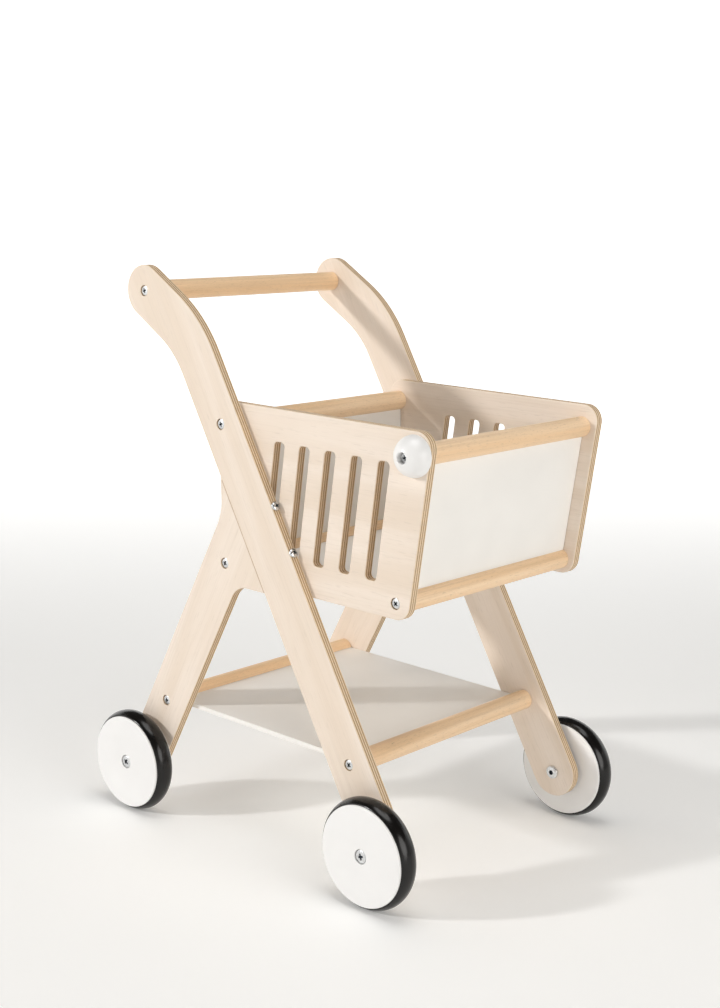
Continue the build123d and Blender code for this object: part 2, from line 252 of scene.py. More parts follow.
def cross_head(shank_radius, shank, head_radius, head_height, domed, turn):
    """A screw on the Z axis, head up, as its top and its sides, and its recess as a mask from 0 to 1. The top
    is a grid of (u, v) from -1 to 1 that stays square in the middle and becomes round at the rim:
    (u, v) * (1 - w) + (u, v) * q / |(u, v)| * w, where q is the larger of |u| and |v| and w rises with q.
    Its height is a dome, 1 - k + k * sqrt(1 - r^2), less a cross recess that is full where the smaller of
    |u| and |v| is under half a slot's width and the larger is under an arm's length, and that grows
    shallower along the arms. The sides carry a profile round the rim."""
    slot, arm, wall, deepest = 0.14, 0.45, 0.035, 0.66
    square = 0.6
    half = np.array((0, slot / 2, slot, slot + wall, 0.25, 0.34, arm, arm + 2 * wall,
                     square, 0.7, 0.8, 0.9, 0.96, 1))
    line = np.concatenate([-half[:0:-1], half])
    u, v = np.meshgrid(line, line, indexing="ij")
    q = np.maximum(abs(u), abs(v))
    length = np.maximum(np.hypot(u, v), 1e-9)
    w = np.clip((q - square) / (1 - square), 0, 1)
    stretch = (1 - w) + w * q / length
    x, y = u * stretch, v * stretch
    near, far = np.minimum(abs(u), abs(v)), q
    # The recess mask also places painted shade: a dark colour on the recess floor.
    mask = np.clip((slot + wall - near) / wall, 0, 1) * np.clip((arm + 2 * wall - far) / (2 * wall), 0, 1)
    share = np.clip(np.hypot(x, y), 0, 0.999)
    dome = head_height * (1 - domed + domed * np.sqrt(1 - share ** 2))
    depth = deepest * head_height * (1 - 0.5 * far) * mask
    top = np.stack([x * head_radius, y * head_radius, dome - depth], -1)
    rim = np.concatenate([top[:-1, 0], top[-1, :-1], top[:0:-1, -1], top[0, :0:-1]])
    angle = np.arctan2(rim[:, 1], rim[:, 0])
    profile = np.array([
        (head_radius, rim[0, 2]),
        (head_radius, 0.1 * head_height),
        (0.95 * head_radius, 0.0),
        (shank_radius, 0.0),
        (shank_radius, 0.6 * shank_radius - shank),
        (0.6 * shank_radius, -shank),
        (0.0, -shank),
    ])
    around = np.stack([np.cos(angle), np.sin(angle)], -1)
    flat = profile[:, 0, None, None] * around
    height = np.broadcast_to(profile[:, 1, None, None], (*flat.shape[:2], 1))
    sides = np.concatenate([flat, height], -1)
    swing = np.array(((cos(turn), sin(turn), 0), (-sin(turn), cos(turn), 0), (0, 0, 1)))
    return top @ swing, mask, sides @ swing


def set_in(shape, origin, axis):
    """A shape drawn on the Z axis, moved so that its Z axis starts at origin and points along axis."""
    e1, e2 = frame_of(axis)
    return np.asarray(origin) + shape @ np.stack([e1, e2, np.asarray(axis, float)])


# ---------------------------------------------------------------- shader maths

class Amount:
    """A number worked out at each point of a surface. Arithmetic on it adds Math nodes."""

    def __init__(self, shader, socket):
        self.shader, self.socket = shader, socket

    def math(self, operation, *others):
        return self.shader.math(operation, self, *others)

    def __add__(self, other):
        return self.math("ADD", other)

    def __mul__(self, other):
        return self.math("MULTIPLY", other)

    __radd__, __rmul__ = __add__, __mul__

    def __sub__(self, other):
        return self.math("SUBTRACT", other)

    def __rsub__(self, other):
        return self.shader.math("SUBTRACT", other, self)

    def __abs__(self):
        return self.math("ABSOLUTE")

    def fract(self):
        return self.math("FRACT")

    def rise(self, low, high):
        """0 below low, 1 above high, and a smooth step between."""
        return self.shader.read("ShaderNodeMapRange", {"interpolation_type": "SMOOTHSTEP"},
                                {"Value": self, "From Min": low, "From Max": high})


class Shader:
    """A material's node tree, with one method that makes any node."""

    def __init__(self, name):
        self.material = bpy.data.materials.new(name)
        self.material.use_nodes = True
        self.tree = self.material.node_tree
        self.tree.nodes.clear()
        self.output = self.node("ShaderNodeOutputMaterial")

    def node(self, kind, settings=None, inputs=None):
        made = self.tree.nodes.new(kind)
        for key, value in (settings or {}).items():
            setattr(made, key, value)
        for key, value in (inputs or {}).items():
            if isinstance(value, Amount):
                self.tree.links.new(value.socket, made.inputs[key])
            else:
                made.inputs[key].default_value = value
        return made

    def read(self, kind, settings=None, inputs=None, output=0):
        return Amount(self, self.node(kind, settings, inputs).outputs[output])

    def math(self, operation, *values):
        return self.read("ShaderNodeMath", {"operation": operation}, dict(enumerate(values)))

    def mix(self, share, first, second):
        """The first colour where share is 0, the second where it is 1."""
        return self.read("ShaderNodeMix", {"data_type": "RGBA"}, {0: share, 6: first, 7: second}, 2)

    def place(self):
        return self.read("ShaderNodeTexCoord", output="Object")

    def normal(self):
        return self.read("ShaderNodeTexCoord", output="Normal")

    def part(self, vector, letter):
        return self.read("ShaderNodeSeparateXYZ", inputs={0: vector}, output="XYZ".index(letter))

    def mapped(self, vector, turn=(0, 0, 0), scale=(1, 1, 1)):
        return self.read("ShaderNodeMapping", None, {"Vector": vector, "Rotation": turn, "Scale": scale})

    def noise(self, vector, scale, detail=3.0, roughness=0.55, distortion=0.0):
        return self.read("ShaderNodeTexNoise", None, {
            "Vector": vector, "Scale": scale, "Detail": detail, "Roughness": roughness,
            "Distortion": distortion,
        })

    def finish(self, color, roughness, height=None, height_size=0.0002, **fixed):
        """Joins the surface. Fixed values go straight on the shader's own sockets."""
        inputs = {"Base Color": color, "Roughness": roughness}
        if height is not None:
            inputs["Normal"] = self.read("ShaderNodeBump", None,
                                         {"Strength": 1.0, "Distance": height_size, "Height": height})
        inputs.update({key.replace("_", " "): value for key, value in fixed.items()})
        surface = self.read("ShaderNodeBsdfPrincipled", None, inputs)
        self.tree.links.new(surface.socket, self.output.inputs["Surface"])
        return self.material


def solid(color):
    return (*color[:3], 1.0)


def toned(color, factor):
    return (*(channel * factor for channel in color[:3]), 1.0)


# ---------------------------------------------------------------- finishes

def paint(red, green, blue):
    """A colour given as 0 to 255 steps of a paint chart, as the even values that light works with."""
    steps = np.array((red, green, blue)) / 255
    even = np.where(steps <= 0.04045, steps / 12.92, ((steps + 0.055) / 1.055) ** 2.4)
    return tuple(map(float, even))


def birch(name, look, turn, inner, seam=None):
    """Birch plywood with a satin varnish. The face veneer's fibres run along the turned Z direction. Cut
    edges show the plies, crosswise ones darker, between thin glue lines. A seam (x, z, lean) is a butt joint
    with another plate, along which a fine dark line of painted shade stands for the shadow in its groove."""
    s = Shader(name)
    place = s.place()
    along = s.mapped(place, turn=(0, turn, 0))
    fibre = s.noise(s.mapped(along, scale=(520, 520, 11)), 1.0, 4.0, 0.62)
    figure = s.noise(s.mapped(along, scale=(34, 34, 2.6)), 1.0, 3.0, 0.5, 0.5)
    cloud = s.noise(place, 9.0, 2.0)
    dash = s.noise(s.mapped(along, scale=(900, 900, 70)), 1.0, 1.0).rise(0.63, 0.74)
    face = s.mix(figure.rise(0.32, 0.68), solid(look.birch), solid(look.birch_grain))
    face = s.mix(fibre.rise(0.45, 0.8) * 0.35, face, toned(look.birch_grain, 0.88))
    face = s.mix(cloud.rise(0.5, 0.85) * 0.25, face, toned(look.birch_grain, 1.04))
    face = s.mix(dash * 0.22, face, toned(look.birch_grain, 0.72))

    wobble = s.noise(s.mapped(place, scale=(55, 8, 55)), 1.0, 2.0) * 0.34 - 0.17
    ply = (abs(s.part(place, "Y")) - inner) * (PLIES / PLY) + wobble
    crosswise = abs((ply * 0.5 + 0.25).fract() - 0.5).rise(0.21, 0.29)
    cut = s.noise(s.mapped(place, scale=(600, 1900, 600)), 1.0, 3.0, 0.7)
    long = s.noise(s.mapped(along, scale=(300, 1500, 300)), 1.0, 3.0, 0.6)
    light_ply = s.mix(long.rise(0.3, 0.75), solid(look.ply_light), toned(look.ply_light, 0.86))
    dark_ply = s.mix(cut.rise(0.35, 0.7), solid(look.ply_dark), toned(look.ply_dark, 0.68))
    inside = 1 - abs(ply - PLIES / 2).rise(PLIES / 2 - 0.4, PLIES / 2 - 0.1)
    glue = (1 - abs((ply + 0.5).fract() - 0.5).rise(0.03, 0.1)) * inside
    edge = s.mix(crosswise * inside, light_ply, dark_ply)
    edge = s.mix(glue * 0.55, edge, solid(look.glue_line))
    on_edge = 1 - abs(s.part(s.normal(), "Y")).rise(0.45, 0.8)
    # Painted shade: the rounded band between each face and its cut edge is darkened in cloudy patches, so
    # that joint lines read dark.
    painted_edge_shade = on_edge.rise(0.02, 0.4) * (1 - on_edge.rise(0.6, 0.98))
    color = s.mix(on_edge, face, edge)
    color = s.mix(painted_edge_shade * cloud.rise(0.35, 0.7) * 0.35, color, toned(look.birch_grain, 0.8))
    # Painted shade: a fine dark line along the butt joint stands for the shadow in its groove.
    if seam:
        x, z, lean = seam
        off = (s.part(place, "X") - x) * cos(lean) + (s.part(place, "Z") - z) * sin(lean)
        color = s.mix((1 - abs(off).rise(0.00025, 0.0008)) * 0.75, color, toned(look.ply_dark, 0.8))
    height = fibre * 0.6 + figure * 0.4 - dash * 0.5 + on_edge * (cut - glue) * 0.9
    roughness = 0.46 + fibre * 0.16 + on_edge * 0.14
    return s.finish(color, roughness, height, 0.00012, Coat_Weight=0.12, Coat_Roughness=0.35)


def beech(name, look):
    """Steamed beech turned to a round bar along Y: fine long streaks, short dark flecks and soft bands."""
    s = Shader(name)
    place = s.place()
    streak = s.noise(s.mapped(place, scale=(330, 5, 330)), 1.0, 4.0, 0.6, 0.2)
    band = s.noise(s.mapped(place, scale=(70, 2, 70)), 1.0, 2.0, 0.5, 0.6)
    fleck = s.noise(s.mapped(place, scale=(1500, 190, 1500)), 1.0, 1.0).rise(0.62, 0.7)
    pore = s.noise(s.mapped(place, scale=(2600, 120, 2600)), 1.0, 2.0).rise(0.58, 0.7)
    color = s.mix(band.rise(0.3, 0.7), solid(look.beech), solid(look.beech_grain))
    color = s.mix(streak.rise(0.42, 0.72) * 0.55, color, toned(look.beech_grain, 0.82))
    color = s.mix(fleck * 0.32, color, toned(look.beech_grain, 0.58))
    knot = s.noise(s.mapped(place, scale=(260, 60, 260)), 1.0, 2.0, 0.4, 0.8).rise(0.73, 0.79)
    color = s.mix(pore * 0.18, color, toned(look.beech_grain, 0.5))
    color = s.mix(knot * 0.6, color, toned(look.beech_grain, 0.4))
    height = streak * 0.7 - fleck * 0.5 - pore * 0.3
    return s.finish(color, 0.42 + streak * 0.2, height, 0.0001, Coat_Weight=0.1, Coat_Roughness=0.3)


def painted_board(name, look):
    """Thin hard board under white paint: a faint rolled texture, slightly uneven white, and small dark
    specks.
    """
    s = Shader(name)
    place = s.place()
    rolled = s.noise(place, 900.0, 3.0, 0.6)
    cloud = s.noise(place, 14.0, 2.0)
    speck = s.noise(place, 1500.0, 1.0).rise(0.72, 0.8)
    color = s.mix(cloud.rise(0.3, 0.7), solid(look.board), toned(look.board, 0.965))
    color = s.mix(speck * 0.2, color, toned(look.board, 0.8))
    return s.finish(color, 0.44 + rolled * 0.14 + cloud * 0.05, rolled, 0.00006)


def lacquer(name, look):
    """Sprayed white lacquer over board: a soft orange-peel ripple and a smooth satin gloss."""
    s = Shader(name)
    place = s.place()
    ripple = s.noise(place, 260.0, 2.0, 0.45)
    cloud = s.noise(place, 22.0, 2.0)
    scuff = s.noise(s.mapped(place, scale=(90, 700, 300)), 1.0, 3.0, 0.7).rise(0.66, 0.78)
    color = s.mix(cloud.rise(0.3, 0.75), solid(look.lacquer), toned(look.lacquer, 0.97))
    color = s.mix(scuff * 0.12, color, toned(look.lacquer, 0.82))
    return s.finish(color, 0.3 + cloud * 0.08 + scuff * 0.2, ripple, 0.00005, Coat_Weight=0.25,
                    Coat_Roughness=0.15)


def rubber(name, look):
    """Smooth black rubber: glossy from the mould, with a few dull, dusty rub marks on the tread."""
    s = Shader(name)
    place = s.place()
    grain = s.noise(place, 1300.0, 2.0, 0.5)
    rub = s.noise(s.mapped(place, scale=(60, 160, 60)), 1.0, 3.0, 0.6).rise(0.55, 0.75)
    color = s.mix(rub * 0.4, solid(look.rubber), toned(look.rubber, 2.0))
    return s.finish(color, 0.16 + rub * 0.14 + grain * 0.05, grain, 0.00002, Specular_IOR_Level=0.4)


def plated(name, tint, low, spread, shade_recesses=False):
    """Plated metal: slightly uneven brightness and fine turning marks. If asked, a driver recess or socket
    gets painted shade: a dark blue-grey colour on its floor, where the mesh marks it.
    """
    s = Shader(name)
    place = s.place()
    mark = s.noise(s.mapped(place, scale=(2400, 300, 2400)), 1.0, 3.0, 0.6)
    cloud = s.noise(place, 420.0, 2.0)
    color = s.mix(cloud.rise(0.35, 0.7), solid(tint), toned(tint, 0.86))
    rough = low + mark * spread
    if shade_recesses:
        recess_shade_mask = s.read("ShaderNodeAttribute", {"attribute_name": "recess_shade_mask"}, output="Fac")
        # Painted shade: dark blue-grey colour in the marked recess or socket, which is also made rougher.
        color = s.mix(recess_shade_mask.rise(0.3, 0.9) * 0.94, color, solid(paint(30, 38, 50)))
        rough = rough + recess_shade_mask * 0.3
    return s.finish(color, rough, mark, 0.00003, Metallic=1.0)


def moulded(name, tint):
    """Milky moulded nylon with a fine matt grain."""
    s = Shader(name)
    place = s.place()
    grain = s.noise(place, 1800.0, 2.0)
    cloud = s.noise(place, 120.0, 2.0)
    color = s.mix(cloud.rise(0.3, 0.7), solid(tint), toned(tint, 0.92))
    return s.finish(color, 0.34 + grain * 0.14, grain, 0.00004)


def wear(node, material):
    """Puts a material on every slot of a carried-over node."""
    for slot in frame["nodes"][node].material_slots:
        slot.material = material


# ---------------------------------------------------------------- sizes and colours to change

def size(name, description, millimetres):
    return FloatProperty(name=name, description=description, default=millimetres * MM, unit="LENGTH",
                         precision=5)


def colour(name, description, *steps):
    return FloatVectorProperty(name=name, description=description, subtype="COLOR", size=3, min=0, max=1,
                               default=paint(*steps))


class CartLook(bpy.types.PropertyGroup):
    birch: colour("Birch face", "Pale colour of the plywood's face", 240, 226, 212)
    birch_grain: colour("Birch grain", "Colour of the face veneer's fibres", 231, 214, 196)
    ply_light: colour("Light ply", "Cut edge of the plies that run along the edge", 244, 222, 191)
    ply_dark: colour("Dark ply", "Cut edge of the plies that run across it", 200, 163, 121)
    glue_line: colour("Glue line", "Glue between two plies", 104, 70, 44)
    beech: colour("Beech", "Colour of the round rails", 249, 219, 183)
    beech_grain: colour("Beech grain", "Darker bands and fibres of the rails", 240, 203, 160)
    board: colour("White board", "Paint of the thin boards", 246, 243, 238)
    lacquer: colour("White lacquer", "Wheel discs and knob", 240, 239, 238)
    rubber: colour("Rubber", "Tyres", 13, 11, 10)
    steel: colour("Plated steel", "Bolts, screws and cap nuts", 226, 228, 230)
    brass: colour("Brass", "Insert nuts in the rails' ends", 214, 178, 104)
    nylon: colour("Nylon", "Spacers and wheel bushes", 232, 228, 218)


class CartSizes(bpy.types.PropertyGroup):
    rail_ease: size("Rail end easing", "Length of the eased edge at a rail's ends", 0.4)
    board_edge: size("Board edge", "Rounding of the thin boards' long edges", 0.5)
    groove_play: size("Groove play", "Room between a board and each wall of its groove", 0.1)
    disc_edge: size("Disc edge", "Rounding of a wheel disc's rims", 1.0)
    hub_bore: size("Hub bore", "Radius of the hole that holds the bush", 5.0)
    hub_sink: size("Hub counterbore", "Radius of the sunk ring round the axle's head", 6.6)
    hub_sink_depth: size("Hub counterbore depth", "Depth of the sunk ring round the axle's head", 3.2)
    tyre_crown: size("Tyre crown", "Rise of the tread's middle above its lips", 3.6)
    tyre_edge: size("Tyre edge", "Rounding of the tyre's lips", 0.4)
    mould_line: size("Mould line", "Height of the fine ridge round the tread's middle", 0.08)
    knob_sink: size("Knob counterbore", "Radius of the hole for the knob's screw head", 5.0)
    knob_sink_depth: size("Knob counterbore depth", "Depth of the hole for the knob's screw head", 7.2)
    bolt: size("Bolt radius", "Radius of the frame bolts' shanks", 2.5)
    bolt_head: size("Bolt head radius", "Radius of the frame bolts' heads", 4.5)
    bolt_head_height: size("Bolt head height", "Height of the frame bolts' heads", 2.4)
    bolt_reach: size("Bolt reach", "How far a frame bolt goes into its rail", 20.0)
    axle: size("Axle radius", "Radius of the axle bolts", 3.0)
    axle_head: size("Axle head radius", "Radius of the axle bolts' heads", 5.8)
    axle_head_height: size("Axle head height", "Height of the axle bolts' heads", 2.6)
    leg_screw: size("Leg screw radius", "Radius of the long screws through the legs", 2.4)
    leg_screw_head: size("Leg screw head radius", "Radius of the long screws' heads", 4.4)
    leg_screw_head_height: size("Leg screw head height", "Height of the long screws' heads", 3.2)
    cap_nut_height: size("Cap nut height", "Height of the cap nuts", 3.4)
    cap_nut_socket: size("Cap nut socket", "Radius of the six-sided socket, to its corners", 2.6)
    cap_nut_depth: size("Cap nut socket depth", "Depth of the six-sided socket", 1.7)
    leg_screw_length: size("Leg screw length", "Length of the long screws under the head", 74.0)


class CartStage(bpy.types.PropertyGroup):
    camera_place: FloatVectorProperty(name="Camera", description="Where the camera stands", size=3,
                                      subtype="TRANSLATION", default=(1.0, -1.0927, 0.6216))
    camera_aim: FloatVectorProperty(name="Aim", description="Point the camera looks at", size=3,
                                    subtype="TRANSLATION", default=(0.01165, -0.0070, 0.3144))
    camera_roll: FloatProperty(name="Roll", description="Turn of the camera about its line of sight",
                               subtype="ANGLE", default=radians(1.158))
    lens: FloatProperty(name="Lens", description="Focal length for a 36 mm wide frame", default=79.06, min=10,
                        max=300, subtype="DISTANCE_CAMERA")
    floor: colour("Floor", "Pale floor", 246, 246, 245)
    floor_glow: FloatProperty(name="Floor glow", description="Light of the white backdrop",
                              default=0.85, min=0, max=1)
    sky: FloatProperty(name="Room light", description="Even light from all round", default=0.11, min=0, max=5)
    key: FloatProperty(name="Key light", description="Large soft light at the camera's left", default=112.0,
                       min=0, max=500, subtype="POWER")
    key_width: FloatProperty(name="Key width", description="Width of the key light: wider is softer",
                             default=0.36, min=0.05, max=4, unit="LENGTH")
    fill: FloatProperty(name="Fill light", description="Soft light in front of the cart", default=19.0, min=0,
                        max=500, subtype="POWER")
    top: FloatProperty(name="Top light", description="Soft light overhead", default=14.0, min=0, max=500,
                       subtype="POWER")


# ---------------------------------------------------------------- one operator for each kind of piece

class CART_OT_plywood(bpy.types.Operator):
    """Birch plywood on the legs and the basket's sides, with the plies on their cut edges"""
    bl_idname = "cart.plywood"
    bl_label = "Plywood legs and sides"

    def execute(self, context):
        look = context.scene.cart_look
        lean = atan2(down_leg[0], -down_leg[1])
        rear_axle = axle_places["rear_right_wheel"]
        up = AXES["rear_stretcher"] - rear_axle[[0, 2]]
        handle = birch("birch_handle_leg", look, lean, LEG_INNER)
        edge = AXES["basket_back_top_rail"] - LEG_HALF_WIDTH * across_leg
        rear = birch("birch_rear_leg", look, -atan2(up[0], up[1]), LEG_INNER, (*map(float, edge), lean))
        side = birch("birch_basket_side", look, pi / 2, SIDE_INNER)
        for hand in ("right", "left"):
            wear(f"{hand}_handle_leg", handle)
            wear(f"{hand}_rear_leg", rear)
            wear(f"{hand}_basket_side", side)
        return {"FINISHED"}


class CART_OT_rails(bpy.types.Operator):
    """Seven round beech rails, grooved where a board stands in them"""
    bl_idname = "cart.rails"
    bl_label = "Beech rails"

    def execute(self, context):
        sizes = context.scene.cart_sizes
        finish = beech("beech", context.scene.cart_look)
        for name, axis in AXES.items():
            grooves = []
            for board, rails in BOARDS.items():
                if name not in rails:
                    continue
                towards = AXES[rails[1] if name == rails[0] else rails[0]] - axis
                if board in LEVEL_BOARDS:
                    towards = np.array((towards[0], 0.0))
                grooves.append(atan2(towards[1], towards[0]) % tau)
            half = corner_box(name)[1][1]
            section = axis + self.grooved(sorted(grooves), BOARD / 2 + sizes.groove_play)
            stations, insets = between(half, sizes.rail_ease, sizes.rail_ease / RAIL_RADIUS)
            piece(name + "_turned", [(carried(section, stations, insets), False, True)], finish, "frame",
                  [name], 30.0)
        return {"FINISHED"}

    def grooved(self, grooves, half_width):
        """A circle of the rail's radius, cut by straight grooves: between two grooves the outline follows the
        circle, and at each groove it goes in along one wall, across the floor and out along the other."""
        if not grooves:
            turn = np.linspace(0, tau, 96, endpoint=False)
            return RAIL_RADIUS * np.stack([np.cos(turn), np.sin(turn)], 1)
        half_angle = asin(half_width / RAIL_RADIUS)
        outline = []
        for index, groove in enumerate(grooves):
            ahead, across = np.array((cos(groove), sin(groove))), np.array((-sin(groove), cos(groove)))
            outline.append(np.array([
                GROOVE_FLOOR * ahead - half_width * across,
                GROOVE_FLOOR * ahead + half_width * across,
            ]))
            following = grooves[(index + 1) % len(grooves)]
            run = (following - groove) % tau or tau
            turn = groove + np.linspace(half_angle, run - half_angle, max(8, int(90 * run / tau)))
            outline.append(RAIL_RADIUS * np.stack([np.cos(turn), np.sin(turn)], 1))
        return np.concatenate(outline)


class CART_OT_boards(bpy.types.Operator):
    """Four thin white boards that stand in the rails' grooves"""
    bl_idname = "cart.boards"
    bl_label = "White boards"

    def execute(self, context):
        sizes = context.scene.cart_sizes
        finish = painted_board("white_board", context.scene.cart_look)
        for name, (first, second) in BOARDS.items():
            start, end = AXES[first], AXES[second]
            along = (end - start) / np.linalg.norm(end - start)
            across = np.array((-along[1], along[0])) * BOARD / 2
            start, end = start + GROOVE_FLOOR * along, end - GROOVE_FLOOR * along
            corners = [start - across, end - across, end + across, start + across]
            section = rounded(corners, [sizes.board_edge] * 4, 5)
            half = corner_box(name)[1][1]
            stations, insets = between(half, 0.3 * MM, 0.002)
            piece(name + "_painted", [(carried(section, stations, insets), False, True)], finish, "frame",
                  [name])
        return {"FINISHED"}


class CART_OT_wheels(bpy.types.Operator):
    """Four wheels: a lacquered disc with a sunk hub, in a black rubber tyre with a fine mould line"""
    bl_idname = "cart.wheels"
    bl_label = "Wheels"

    def execute(self, context):
        sizes, look = context.scene.cart_sizes, context.scene.cart_look
        white, black = lacquer("white_lacquer", look), rubber("black_rubber", look)
        for body in WHEELS:
            end = body.removesuffix("_wheel")
            centre = axle_places[body]
            side = 1.0 if centre[1] > 0 else -1.0
            low, high = corner_box(f"{end}_wheel_disc")
            width, radius = high[1] - low[1], (high[2] - low[2]) / 2
            inner = min(abs(low[1]), abs(high[1]))
            origin, outwards = (centre[0], side * inner, centre[2]), (0.0, side, 0.0)
            sunk = width - sizes.hub_sink_depth
            profile = rounded(
                [(sizes.hub_bore, 0), (radius, 0), (radius, width), (sizes.hub_sink, width),
                 (sizes.hub_sink, sunk), (sizes.hub_bore, sunk)],
                [0.3 * MM, sizes.disc_edge, sizes.disc_edge, 0.5 * MM, 0.2 * MM, 0], 7)
            piece(f"{end}_disc", [(turned(profile, origin, outwards, 144), True, True)], white, body,
                  [f"{end}_wheel_disc"])
            low, high = corner_box(f"{end}_tyre")
            tyre_radius = (high[2] - low[2]) / 2
            near = min(abs(low[1]), abs(high[1])) - inner
            profile = self.tread(radius, tyre_radius, near, near + high[1] - low[1], sizes)
            piece(f"{end}_tyre_band", [(turned(profile, origin, outwards, 180), True, True)], black, body,
                  [f"{end}_tyre"], 50.0)
        return {"FINISHED"}

    def tread(self, seat, top, near, far, sizes):
        """The band's section: a flat seat on the disc, thin lips, and a round tread. Its radius is
        top - (R - sqrt(R^2 - d^2)) at the distance d from its middle, with R = (half^2 + crown^2) /
        (2 crown), and a fine ridge exp(-(d / 0.3 mm)^2) stands at the middle."""
        middle, half = (near + far) / 2, (far - near) / 2
        crown, ridge = sizes.tyre_crown, sizes.mould_line
        bow = (half ** 2 + crown ** 2) / (2 * crown)
        d = np.linspace(-1, 1, 71) * (half - sizes.tyre_edge)
        tread = top - ridge - (bow - np.sqrt(bow ** 2 - d ** 2)) + ridge * np.exp(-((d / (0.3 * MM)) ** 2))
        lip, eased = (tread[0] + seat) / 2, 0.1 * MM
        sides = np.array([(lip + 2 * eased, far - eased), (lip, far), (seat, far),
                          (seat, near), (lip, near), (lip + 2 * eased, near + eased)])
        return np.concatenate([np.stack([tread, middle + d], 1), sides])


class CART_OT_knob(bpy.types.Operator):
    """The bag knob: half a lacquered ball with a deep hole for its screw"""
    bl_idname = "cart.knob"
    bl_label = "Bag knob"

    def execute(self, context):
        sizes = context.scene.cart_sizes
        low, high = corner_box("bag_knob")
        radius = (high[2] - low[2]) / 2
        centre = ((low[0] + high[0]) / 2, high[1], (low[2] + high[2]) / 2)
        floor = radius - sizes.knob_sink_depth
        ball = turned(self.half_ball(radius, floor, sizes), centre, (0, -1, 0), 128)
        piece("bag_knob_turned", [(ball, True, True)], lacquer("knob_lacquer", context.scene.cart_look),
              "frame", ["bag_knob"])
        return {"FINISHED"}

    def half_ball(self, radius, floor, sizes):
        """The section from the bolt hole along the flat base, an eased rim, the ball's arc (R cos t, R sin t)
        up to the sunk hole, a rounded lip, the hole's wall, and its floor back to the bolt hole."""
        lip = asin(1.0) - asin((sizes.knob_sink + 0.5 * MM) / radius)
        t = np.linspace(0.03, lip, 40)
        arc = radius * np.stack([np.cos(t), np.sin(t)], 1)
        wall = sizes.knob_sink
        top = arc[-1, 1]
        return np.concatenate([
            np.array([(sizes.bolt, 0), (radius * 0.985, 0)]),
            arc,
            np.array([(wall + 0.2 * MM, top - 0.05 * MM), (wall, top - 0.4 * MM), (wall, floor + 0.3 * MM),
                      (wall - 0.3 * MM, floor), (sizes.bolt, floor)]),
        ])


def screws(name, places, shank_radius, shank, head_radius, head_height, domed, material):
    """Like screws in one mesh, each at (origin, outward direction), turned as far as its driver left it."""
    surfaces, first_turn, next_turn = [], 0.35, 1.13
    for number, (origin, outwards) in enumerate(places):
        turn = first_turn + next_turn * number
        top, mask, sides = cross_head(shank_radius, shank, head_radius, head_height, domed, turn)
        top, sides = set_in(top, origin, outwards), set_in(sides, origin, outwards)
        # The head's recess mask rides as the fourth number, where painted shade darkens the recess.
        surfaces += [
            (np.concatenate([top, mask[..., None]], -1), False, False),
            (np.concatenate([sides, np.zeros((*sides.shape[:2], 1))], -1), False, True),
        ]
    piece(name + "_driven", surfaces, material, "frame", [name], 28.0)


def cap_nut(radius, height, socket, depth, origin, outwards):
    """A low dome with a six-sided socket: rings of radius R * k whose height is h * (s + (1 - s) *
    sqrt(1 - k^2)), where s is the skirt's share, then a six-sided ring a / cos(angle from the nearest flat),
    carried down to the socket's floor. The fourth number is 1 in the socket."""
    angle = np.linspace(0, tau, 96, endpoint=False)
    six = socket * cos(pi / 6) / np.cos((angle + pi / 6) % (pi / 3) - pi / 6)
    k, skirt = np.array((0.5, 0.6, 0.7, 0.8, 0.88, 0.94, 0.98, 0.995)), 0.55
    dome = height * (skirt + (1 - skirt) * np.sqrt(1 - k ** 2))
    # A last number of 1 marks the socket, where painted shade darkens the metal.
    rings = [(0 * six, height - depth, 1), (six * 0.97, height - depth, 1), (six, height - 0.3 * depth, 1),
             (six, dome[0], 0), (six + 0.15 * MM, dome[0] + 0.02 * height, 0)]
    rings += [(radius * share + 0 * six, up, 0) for share, up in zip(k, dome)]
    rings += [(radius + 0 * six, 0.5 * height, 0), (radius + 0 * six, 0.08 * height, 0),
              (0.97 * radius + 0 * six, 0, 0), (0 * six, 0, 0)]
    grid = np.stack([np.stack([r * np.cos(angle), r * np.sin(angle), up + 0 * r, mark + 0 * r], -1)
                     for r, up, mark in rings])
    return np.concatenate([set_in(grid[..., :3], origin, outwards), grid[..., 3:]], -1)


def facing(points, y):
    """The (origin, outward direction) pairs at both sides of the cart for points in the XZ plane."""
    return [((p[0], side * y, p[1]), (0.0, float(side), 0.0)) for p in points for side in SIDES]


